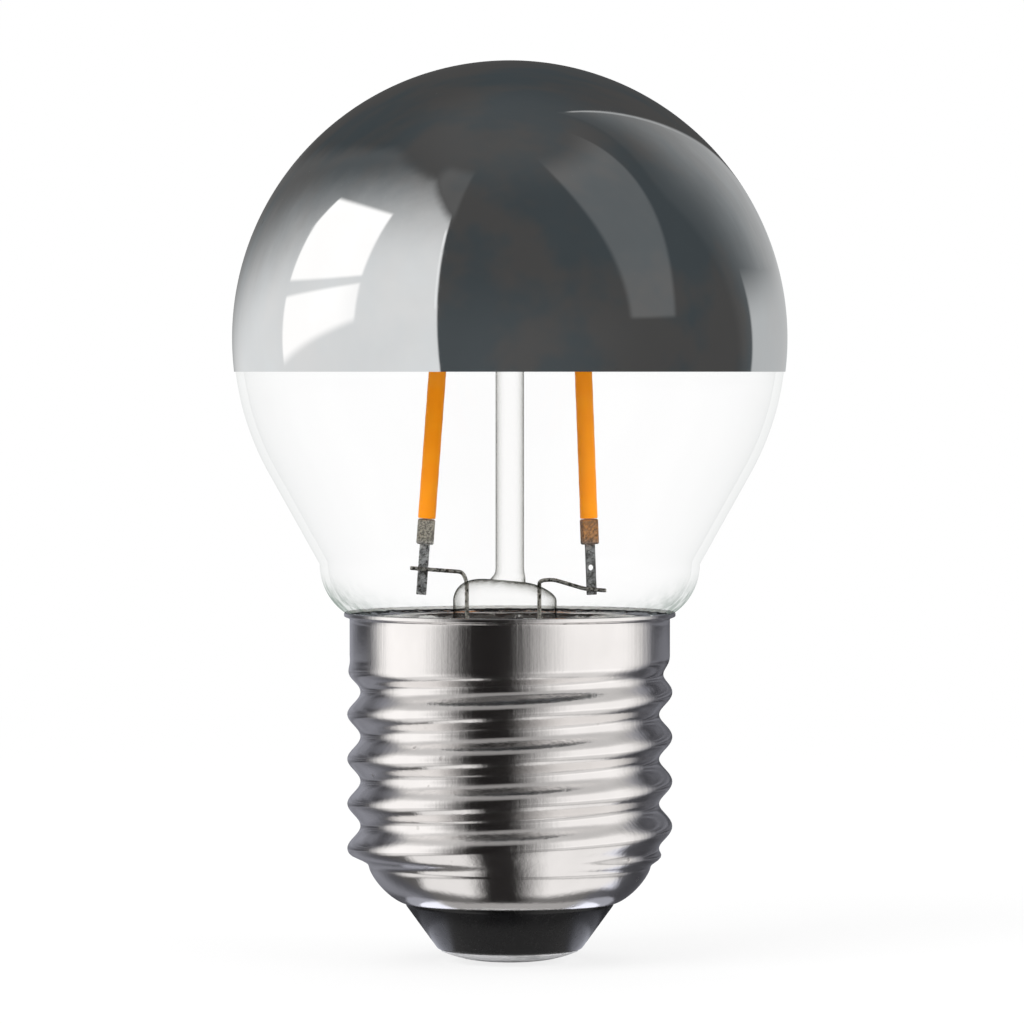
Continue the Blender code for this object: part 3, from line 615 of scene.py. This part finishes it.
def dropGrid():
    # plug of tin with a flat tip; its skirt's r times min(1, 0.94 + 0.06 c(t)), c = 1 + 0.06 sin(3t + 0.6) + ...
    turn = np.arange(solder["segments"]) / solder["segments"] * 2 * math.pi
    creep = 1 + 0.06 * np.sin(3 * turn + 0.6) + 0.04 * np.sin(5 * turn + 2.0)
    line = np.array(solder["line"])
    grid = turnLine(line, solder["segments"])
    low = (line[:, 1] < solder["skirt"])[:, None, None]
    grid[..., :2] *= np.where(low, np.minimum(0.94 + 0.06 * creep, 1.0)[None, :, None], 1.0)
    return grid


makeGrid("contactSolder", dropGrid(), solderTin("solder", (0.34, 0.29, 0.22), 0.9, 0.03),
         ["contact_solder"], poles=[(0, 0, solder["line"][0][1]), (0, 0, 0.0)])
print("contact made")


# ---- cement between the neck and the shell ----

cement = {"line": [(11.56, 25.2), (11.56, 26.5), (11.98, 27.40), (12.61, 27.95), (12.61, 25.2)], "top": (26.6, 27.4),
          "wander": 0.06, "waves": ((5, 0.4, 3), (11, 2.2, 4), (23, 1.1, 5), (41, 4.0, 6), (67, 0.3, 7)),
          "segments": 256}


def cementGrid():
    # ring whose top edge wanders: z less wander (1 + sum of sin(k t + p) / n) over its waves k, p, n
    turn = np.arange(cement["segments"]) / cement["segments"] * 2 * math.pi
    rough = sum(np.sin(k * turn + p) / n for k, p, n in cement["waves"])
    line = roundLine(cement["line"], 0.15, 4)[::-1]
    grid = turnLine(line, cement["segments"])
    grid[..., 2] -= smooth(line[:, 1], *cement["top"])[:, None] * cement["wander"] * (1 + rough)[None, :]
    return grid


makeGrid("capCement", cementGrid(), capCement(), ["cap_cement"], wrapRows=True)


# ---- where the filaments stand ----

filament = {"footZ": 36.0, "coatLong": 25.961, "coatWide": 1.45, "coatDeep": 1.3, "coatEnd": 0.14, "sides": 40,
            "clip": 2.1, "tab": 4.1, "tabWide": 0.82, "tabThick": 0.25,
            "left": {"x": -6.74, "lean": 4.2, "twist": 4.0}, "right": {"x": 6.42, "lean": -2.15, "twist": 18.0}}


def onFilament(side, along):
    # point of a filament's middle line, measured up from the lower end of its coat
    lean = math.radians(filament[side]["lean"])
    return np.array([filament[side]["x"] + math.sin(lean) * along, 0.0, filament["footZ"] + math.cos(lean) * along])


def coatGrid(side):
    # bead of silicone: oval of half-axes a, b times share(z), which is 0.92 + 0.08 sqrt(1 - (1 - d / e)^2) at a
    # distance d from either end and wavers a little along its length
    long, end = filament["coatLong"], filament["coatEnd"]
    along = np.concatenate([np.linspace(0.0, end, 7), np.linspace(end, long - end, 90)[1:-1],
                            np.linspace(long - end, long, 7)])
    near = np.minimum(np.minimum(along, long - along) / end, 1.0)
    share = 0.92 + 0.08 * np.sqrt(1 - (1 - near) ** 2)
    share = share * (0.985 + 0.008 * np.sin(along * 2.6 + filament[side]["x"]) + 0.006 * np.sin(along * 7.1))
    turn = np.arange(filament["sides"]) / filament["sides"] * 2 * math.pi
    half = np.array([filament["coatWide"], filament["coatDeep"]]) / 2
    x, y = half[0] * share[:, None] * np.cos(turn), half[1] * share[:, None] * np.sin(turn)
    grid = np.stack(np.broadcast_arrays(x, y, along[:, None]), axis=-1)
    lean, twist = math.radians(filament[side]["lean"]), math.radians(filament[side]["twist"])
    stand = np.array(Matrix.Rotation(lean, 3, "Y") @ Matrix.Rotation(twist, 3, "Z"))
    foot = onFilament(side, 0)
    ends = np.array([[0, 0, 0.0], [0, 0, long]]) @ stand.T + foot
    return (grid @ stand.T + foot)[::-1], ends[::-1]


amber = amberSilicone()
for side in ("left", "right"):
    grid, ends = coatGrid(side)
    makeGrid(side + "FilamentCoat", grid, amber, [side + "_filament_coat"], poles=ends)
print("filament coats made")


# ---- wires ----

wires = {"radius": 0.16, "sides": 16, "spacing": 0.08, "weldGap": 0.03, "pressTop": 30.95, "pressSide": 29.4,
         "boardTop": 18.2, "padY": 2.61, "dressed": 2.46, "dress": ((0.3, 21.3), (0.0, 23.2)), "topSpan": 2.05,
         "left": {"exit": -3.49, "knee": 0.72, "weldUp": 2.06, "tail": 1.05},
         "right": {"exit": 2.40, "knee": 0.04, "weldUp": 0.48, "tail": 1.2}}


def weldY(side):
    # a wire lies just in front of the turned tab that it is welded to
    twist = math.radians(filament[side]["twist"])
    front = (filament["tabThick"] * math.cos(twist) + filament["tabWide"] * math.sin(twist)) / 2
    return -(front + wires["radius"] + wires["weldGap"])


def leadPath(side):
    # from the board up through the press, over a knee and across the lower tab; dress holds y and z on the way up
    want, hand = wires[side], math.copysign(1, wires[side]["exit"])
    weld, y = onFilament(side, want["weldUp"] - filament["clip"] - filament["tab"]), weldY(side)
    knee, dressed = wires["pressTop"] + want["knee"], hand * wires["dressed"]
    return roundLine([
        (dressed, wires["padY"], wires["boardTop"] - 0.9), (dressed, wires["padY"], wires["boardTop"] + 0.2),
        *[(dressed, back, up) for back, up in wires["dress"]], (want["exit"], 0.0, wires["pressSide"] - 1.2),
        (want["exit"], 0.0, wires["pressTop"] - 0.1), (want["exit"] + hand * 0.35, y * 0.15, knee),
        (want["exit"] + hand * 1.15, y * 0.55, knee + 0.05), (weld[0] - hand * 0.5, y, weld[2]),
        (weld[0] + hand * want["tail"], y, weld[2] - 0.12 * hand)], 0.5, 8)


for side in ("left", "right"):
    grid, ends = tubeGrid(leadPath(side), wires["radius"], wires["sides"], wires["spacing"])
    makeGrid(side + "LeadWire", grid, wireNickel, [side + "_lead_wire"], poles=ends)

topAlong = filament["coatLong"] + filament["clip"] + 2.0
leftTop, rightTop = onFilament("left", topAlong), onFilament("right", topAlong)
beadZ = (leftTop[2] + rightTop[2]) / 2
topPath = roundLine([
    (leftTop[0] - 1.0, weldY("left"), leftTop[2]), (leftTop[0] + 0.8, weldY("left"), leftTop[2]),
    (-wires["topSpan"], 0.0, beadZ), (wires["topSpan"], 0.0, beadZ),
    (rightTop[0] - 0.9, weldY("right"), rightTop[2]), (rightTop[0] + 1.0, weldY("right"), rightTop[2])], 0.6, 8)
grid, ends = tubeGrid(topPath, wires["radius"], wires["sides"], wires["spacing"])
makeGrid("topSupportWire", grid, wireNickel, ["top_support_wire"], poles=ends)
print("wires made")


# ---- glass stem: flare, press, post and exhaust tube ----

stem = {"post": 1.15, "postFoot": 30.9, "bead": 1.55, "press": 4.2, "pressTop": 29.3, "pressEdge": (2.7, 1.62),
        "depth": 0.56, "shift": -0.4, "slope": 0.085, "squeeze": (23.2, 26.2), "wall": 0.75, "exhaust": 1.5,
        "flare": [(4.2, 23.2), (4.55, 21.9), (5.8, 20.75), (8.1, 19.95), (10.5, 19.6)], "tip": 13.6, "segments": 96}

# one line from the bead on top of the post down to the flare's rim and back up inside, down to the end of the
# exhaust tube; turned, then squeezed flat in y where the press is
flareOut = roundLine(stem["flare"], 0.9, 5)
flareIn = offsetLine(flareOut, stem["wall"])
bead = arcLine(0.0, beadZ, stem["bead"], 80, -42, 14)
body = roundLine(np.vstack([
    bead[-1:], [(stem["post"], beadZ - 1.9), (stem["post"], stem["postFoot"] + 0.75),
                (stem["post"] + 0.3, stem["postFoot"])]]), 0.4, 5)
pressMiddle = [stem["press"] - stem["pressEdge"][0], stem["pressTop"]]
press = arcLine(0.0, 0.0, 1.0, 84, 0, 18) * stem["pressEdge"] + pressMiddle
hollow = roundLine([(3.45, 22.0), (2.85, 22.9), (2.0, 22.9), (stem["exhaust"], 22.3), (stem["exhaust"], 14.7),
                    (0.82, 13.8), (0.3, stem["tip"] + 0.02)], 0.3, 4)
flankZ = np.linspace(stem["pressTop"], stem["flare"][0][1], 18)[1:-1]
flank = np.stack([np.full_like(flankZ, stem["press"]), flankZ], axis=1)
stemLine = np.vstack([bead[:-1], body, press, flank, flareOut, flareIn[::-1], hollow])
stemGrid = turnLine(stemLine, stem["segments"])
reach = np.linalg.norm(stemGrid[..., :2], axis=2)
squeeze = smooth(stemGrid[..., 2], *stem["squeeze"]) * smooth(reach, stem["post"] + 0.05, stem["post"] + 0.6)
squeeze *= stemGrid[..., 2] < stem["postFoot"] + 0.8          # the bead on top of the post stays round
stemGrid[..., 1] *= 1 + (stem["depth"] - 1) * squeeze
stemGrid[..., 0] += stem["shift"] * squeeze
shoulder = smooth(stemGrid[..., 2], 29.0, 30.8) * (1 - smooth(stemGrid[..., 2], 31.0, 31.9))
stemGrid[..., 2] -= stem["slope"] * stemGrid[..., 0] * shoulder       # the press slopes down to the right
makeGrid("glassStem", stemGrid, stemGlass, ["glass_stem"],
         poles=[(0, 0, beadZ + stem["bead"]), (0, 0, stem["tip"])])
print("stem made")


# ---- finishes of the solids that stay: filament ends and the driver ----

copper = drawnWire("tinned copper", (0.40, 0.36, 0.31), (0.70, 0.67, 0.62), 1800)
chipBlack = mouldedPlastic("moulded chip", (0.012, 0.012, 0.012), (0.028, 0.028, 0.029), 5000, 0.45)
strip = ceramicStrip()
steelLight, steelDark = (0.60, 0.62, 0.62), (0.26, 0.27, 0.27)
scale, rust = ((0.36, 0.33, 0.26), (0.10, 0.09, 0.07)), ((0.46, 0.19, 0.030), (0.15, 0.065, 0.018))
noStain = (90.0, 91.0)       # heights above the lamp
kept = {
    "left_lower_tab": steelTab("left steel tab", steelLight, (33.6, 34.4), scale),
    "right_lower_tab": steelTab("right steel tab", steelDark, (33.5, 34.6), rust),
    "left_upper_tab": steelTab("left upper tab", steelLight, noStain, (steelLight, steelDark)),
    "right_upper_tab": steelTab("right upper tab", steelLight, noStain, (steelLight, steelDark)),
    "left_filament_strip": strip, "right_filament_strip": strip,
    "driver_board": circuitBoard(), "bridge_rectifier": chipBlack, "driver_chip": chipBlack,
    "smoothing_capacitor": mouldedPlastic("capacitor sleeve", (0.012, 0.020, 0.045), (0.020, 0.032, 0.065),
                                          1400, 0.3),
    "fuse_resistor": mouldedPlastic("resistor enamel", (0.07, 0.24, 0.15), (0.11, 0.32, 0.20), 2200, 0.38),
    "chip_resistor_1": mouldedPlastic("chip resistor", (0.02, 0.02, 0.024), (0.04, 0.04, 0.045), 6000, 0.35),
    "contact_wire": copper, "shell_wire": copper,
}
kept["chip_resistor_2"] = kept["chip_resistor_1"]
for node, material in kept.items():
    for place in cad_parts[node].material_slots:
        place.material = material
print("kept solids finished")


# ---- studio: pale floor, soft lamps, and cards that only reflections see ----

# the lamps' places, sizes and aim are metres; lid and ring are the ring card's r and z at its top and its corner
studio = {"floorReach": 1500.0, "floorMiddle": 400.0, "floorZ": -0.02, "domeRadius": 200.0, "domeCentre": 50.6,
          "domeLow": -14.4, "lid": (23.2, 46.0), "ring": (60.0, 37.0), "cardFloor": 0.3, "ringFoot": 5.95,
          "hoodUp": 0.3, "hoodOut": 0.4, "hoodReach": 193.0, "segments": 96, "diffuse": 0.70, "thinWalls": 32,
          "aim": (0.0, 0.0, 0.035), "lamps": (("keyLamp", (-0.55, -0.60, 0.62), 0.7, 7.4),
                                              ("fillLamp", (0.75, -0.55, 0.40), 0.8, 4.6),
                                              ("topLamp", (0.0, 0.25, 0.95), 0.8, 2.6))}


def paleFloor():
    # matt pale paper: seen by the camera it is nearly white and keeps a light shadow, which fades out with distance
    look = Finish("pale floor")
    far = look.reach().step(0.05, 0.35)
    seen = look.node("ShaderNodeLightPath", output=0)
    fibre = look.noise(900, 3, 0.6)
    paper = look.glossy(Base_Color=look.blend(fibre, (0.80, 0.80, 0.80), (0.84, 0.84, 0.84)), Roughness=0.9,
                        Specular_IOR_Level=0.0, Normal=look.bump(fibre, 0.02))
    glow = look.node("ShaderNodeEmission", None, {"Color": (1.0, 1.0, 1.0), "Strength": 1.0})
    return look.done(look.either(seen * (0.80 + 0.20 * far), paper, glow))


def stageGrid(name, line, material, onlyReflected):
    faces = gridFaces(len(line), studio["segments"]).tolist()
    piece = makePiece(name, turnLine(np.asarray(line), studio["segments"]).reshape(-1, 3), faces, material)
    if onlyReflected:
        piece.visible_camera = piece.visible_diffuse = piece.visible_transmission = piece.visible_shadow = False
        piece.visible_volume_scatter = False
        material.cycles.emission_sampling = "NONE"


def compass(look, centreZ):
    # azimuth from the front, + to the right, in degrees, and height over centreZ in metres
    x, y, z = look.axes()
    return x.math("ARCTAN2", x, y * -1) * (180 / math.pi), z - centreZ * mm


def between(value, low, high, softLow, softHigh):
    # 1 from low to high, with a smooth run of twice its softness at each end
    return (value - low).step(-softLow, softLow) * (high - value).step(-softHigh, softHigh)


def glowOf(look, colour, strength):
    return look.done(look.node("ShaderNodeEmission", None, {"Color": colour, "Strength": strength}))


def roomCard():
    # what the crown mirrors: a dark room, a pale wall with a two-pane window on the left, a lit doorway on the right
    look = Finish("room card")
    az, height = compass(look, studio["domeCentre"])
    share = (height / (studio["domeRadius"] * mm)).below(0.9999)
    el = share.math("ARCSINE", share) * (180 / math.pi)
    up = el.above(0)
    soft = look.noise(9, 3, 0.6)
    wisp = look.noise(34, 4, 0.65) - 0.5

    # pale wall: dims to its top left along a parabola in azimuth, ends at a slanting corner and a plumb edge
    off = az + 30
    fade = el + off * off * 0.0036 * el.step(-12, 22, 0.72, 1.02) + wisp * 5
    corner = el + (az + 52).above(0) * 0.68 - 60.0 + wisp * 2.5
    plumb = (az + 27.8 + el * 0.05).step(0.5, -0.5)
    wall = fade.step(82, 74) * (el - 60.5).step(3, -3) * corner.step(3.5, -3.5) * plumb * az.step(-180, -169)
    wallLevel = fade.step(26, 72, 0.81, 0.045) * (0.93 + 0.14 * soft)
    wallLevel = wallLevel.above(between(az + el * 0.05, -29.2, -27.8, 0.3, 0.3) * between(el, 8, 42, 4, 3) * 0.95)
    jamb = between(az, -52, -28.5, 6, 1.5) * between(el, 45, 65.5, 4, 2.5) * (0.02 + 0.04 * soft)
    # panes: slanting bars, a head that sinks to the left
    sides = between(az, (el - 30).above(0) * 0.33 - 102.5, (el - 21).above(0) * 0.07 - 63.5, 0.7, 0.9)
    head = az + 62
    upper = sides * between(el, az * 0.16 + 30.9, 43 - head * head * 0.0028, 0.7, 0.9)
    lower = sides * between(el, az * 0.30 + 25, az * 0.2 + 30.85, 1.8, 0.7) * az.step(-62, -74, 0.80, 1.0)
    panes = upper.above(lower)
    # streak that opens upwards, and the doorway with its bright jamb
    streak = between(az, 48.5 - up * up * 0.0035, 68 + up * up * 0.0062, 1.6, 1.4) * between(el, 7, 68, 1.0, 7)
    drop = 60 - el
    outside = 141.5 + drop * (0.1166 + 0.00778 * drop) - az
    climb, sink = (el - 41).above(0), (41 - el).above(0)
    inside = az - climb * climb * 0.053 - sink * 0.3 - 91
    haze = look.noise(30, 4, 0.7, look.stretched(1, 1, 0.5))
    doorway = 0.015 + inside.step(0, 58) * el.step(58, 4, 0.13, 0.40) * (0.75 + 0.5 * haze)
    sill = (az + el * 0.15 - 114.2).step(-1.6, 0.8) * el.step(20, 3) * 0.50
    jambLine = between(outside, 0.2, 2.0, 0.5, 0.7) * between(el, 16, 68, 8, 2) * (0.22 + 0.30 * haze)
    door = outside.step(-0.7, 0.7) * inside.step(-2, 4) * az.step(180, 166) * doorway.above(sill).above(jambLine)
    level = (wall * wallLevel).above(jamb * (1 - wall)).above(streak * (0.062 + 0.03 * soft)).above(door)
    dark = look.blend(soft.step(0.42, 0.62), (0.056, 0.067, 0.073), (0.073, 0.072, 0.071))
    pale = look.blend(look.noise(14, 3, 0.6), (0.94, 0.98, 1.00), (1.03, 1.02, 1.01))
    lift = 0.022 * el.step(50, 80) + 0.020 * el.step(30, -4) * az.step(60, 10)
    colour = look.blend(level + lift, dark, pale)
    colour = look.blend(panes, colour, (1.26, 1.25, 1.24))
    return glowOf(look, colour, 1.0)


def ringCard():
    # what the cap mirrors: white cards left and right, a dark gap in front, grey behind, a dimmer lid and floor
    look = Finish("ring card")
    az, height = compass(look, 0.0)
    reach = look.reach()
    under = height.run((1.2, 0.6))
    lid = height.run((36.5, 38.0))
    # on the floor near the foot a mirrored direction lies nearer the front: az 1.81 r / (2 r - 11.5)
    near = reach * 1.808 / (reach * 2 - 11.5 * mm).above(reach)
    turn = az * (near * under + (1 - under))
    left = turn.step(-116, -84) * turn.step(-23, -63)
    right = turn.step(-4, 44) * turn.step(124, 80) * 0.93
    front = turn.step(-60, -20) * turn.step(40, 4)
    back = turn.size().step(96, 120)
    soft = look.noise(30, 3, 0.6)
    shelf = look.noise(150, 2, 0.5, look.stretched(0.12, 0.12, 1.0)).step(0.32, 0.68)
    cards = left.above(right)
    rear = turn.step(-118, -150) * turn.step(-180, -164) * 0.12
    side = 0.05 + 0.13 * shelf + rear - front * (0.044 + 0.125 * shelf - 0.012 * soft)
    walls = cards.above(side)
    # floor near the foot: lobes for the bowl beyond a dark gap, a grey ring for the mouth's lip, and glints for the
    # insulator
    flank = az.size()
    lobes = between(az, -63, -20, 6, 8) * 0.80 + between(az, 14, 84, 14, 9) * 0.84
    beyond = (reach - flank.step(20, 80) * 0.0032).run((9.2, 11.6)) * reach.run((24, 18.5))
    wide = cards * (reach.run((18, 24)) * 0.74 + reach.run((30, 46)) * 0.36)
    floorLevel = (lobes * beyond).above(wide).above(side)
    foot = flank.step(50, 85) * reach.run((9.6, 9.0)) * az.step(-10, 10, 3.3, 1.5)
    ring = (reach - flank.step(30, 110) * 0.0034).run((9.0, 8.4))
    beneath = look.node("ShaderNodeMix", None, {0: ring, 2: floorLevel, 3: foot.above(0.36)})
    above = look.node("ShaderNodeMix", None, {0: reach.run((30, 48)), 2: 0.28 + 0.30 * cards, 3: walls})
    level = walls * (1 - under) * (1 - lid) + beneath * under + above * lid
    bright = look.blend(back, (1.0, 0.98, 0.97), (0.92, 0.94, 1.06))
    return glowOf(look, look.blend(level, (0.001, 0.0, 0.0), bright), 1.15)


def hoodCard():
    # what the crown sees of the cap's cards from outside: more of the pale floor, dimmer near the lamp
    look = Finish("hood card")
    level = 0.50 + look.reach().run((20, 70)) * 0.38 + 0.06 * (look.noise(30, 3, 0.6) - 0.5)
    return glowOf(look, look.blend(level, (0.0, 0.0, 0.0), (1.0, 1.0, 1.0)), 1.0)


(lidR, lidZ), (ringR, ringZ), low, up = studio["lid"], studio["ring"], studio["cardFloor"], studio["hoodUp"]
hoodR = ringR + studio["hoodOut"]
stageGrid("paleFloor", [(r, studio["floorZ"]) for r in (studio["floorReach"], studio["floorMiddle"], 0.01)],
          paleFloor(), False)
stageGrid("roomCard", arcLine(0.0, studio["domeCentre"], studio["domeRadius"], 90, studio["domeLow"], 60),
          roomCard(), True)
stageGrid("ringCard", [(lidR, lidZ), (ringR, ringZ), (ringR, low), (studio["ringFoot"], low)], ringCard(), True)
stageGrid("hoodCard", [(lidR, lidZ + up), (hoodR, ringZ + up), (hoodR, low), (studio["hoodReach"], low)],
          hoodCard(), True)

for name, place, size, watts in studio["lamps"]:
    lamp = bpy.data.lights.new(name, "AREA")
    lamp.size, lamp.energy = size, watts
    stand = bpy.data.objects.new(name, lamp)
    stand.location = place
    stand.rotation_euler = (Vector(place) - Vector(studio["aim"])).to_track_quat("Z", "Y").to_euler()
    stand.visible_glossy = False
    bpy.context.scene.collection.objects.link(stand)

world = bpy.data.worlds.new("studio")
world.use_nodes = True
tree = world.node_tree
tree.nodes.clear()
seen = addNode(tree, "ShaderNodeLightPath")
ways = {socket.name: Signal(tree, socket) for socket in seen.socket.node.outputs}
white = ways["Is Camera Ray"].above(ways["Is Glossy Ray"]).above(ways["Is Transmission Ray"])
shade = addNode(tree, "ShaderNodeMix", {"data_type": "RGBA"},
                {0: white, 6: (studio["diffuse"],) * 3, 7: (1.0, 1.0, 1.0)}, 2)
sky = addNode(tree, "ShaderNodeBackground", None, {"Color": shade, "Strength": 1.0})
tree.links.new(sky.socket, tree.nodes.new("ShaderNodeOutputWorld").inputs["Surface"])
bpy.context.scene.world = world
bpy.context.scene.view_settings.view_transform = "Standard"
bpy.context.scene.cycles.transparent_max_bounces = studio["thinWalls"]       # walls seen behind one another
print("studio made")


# ---- camera ----

view = {"lens": 212.34, "sensor": 36.0, "place": (0.18, -490.0, 47.9), "tilt": 1.33, "clip": (10.0, 20000.0)}

camera = bpy.data.objects.new("camera", bpy.data.cameras.new("camera"))
camera.data.lens, camera.data.sensor_width = view["lens"], view["sensor"]
camera.data.clip_start, camera.data.clip_end = (v * mm for v in view["clip"])
camera.location = [v * mm for v in view["place"]]
camera.rotation_euler = (math.radians(90 - view["tilt"]), 0, 0)
bpy.context.scene.collection.objects.link(camera)
bpy.context.scene.camera = camera

print("camera set")
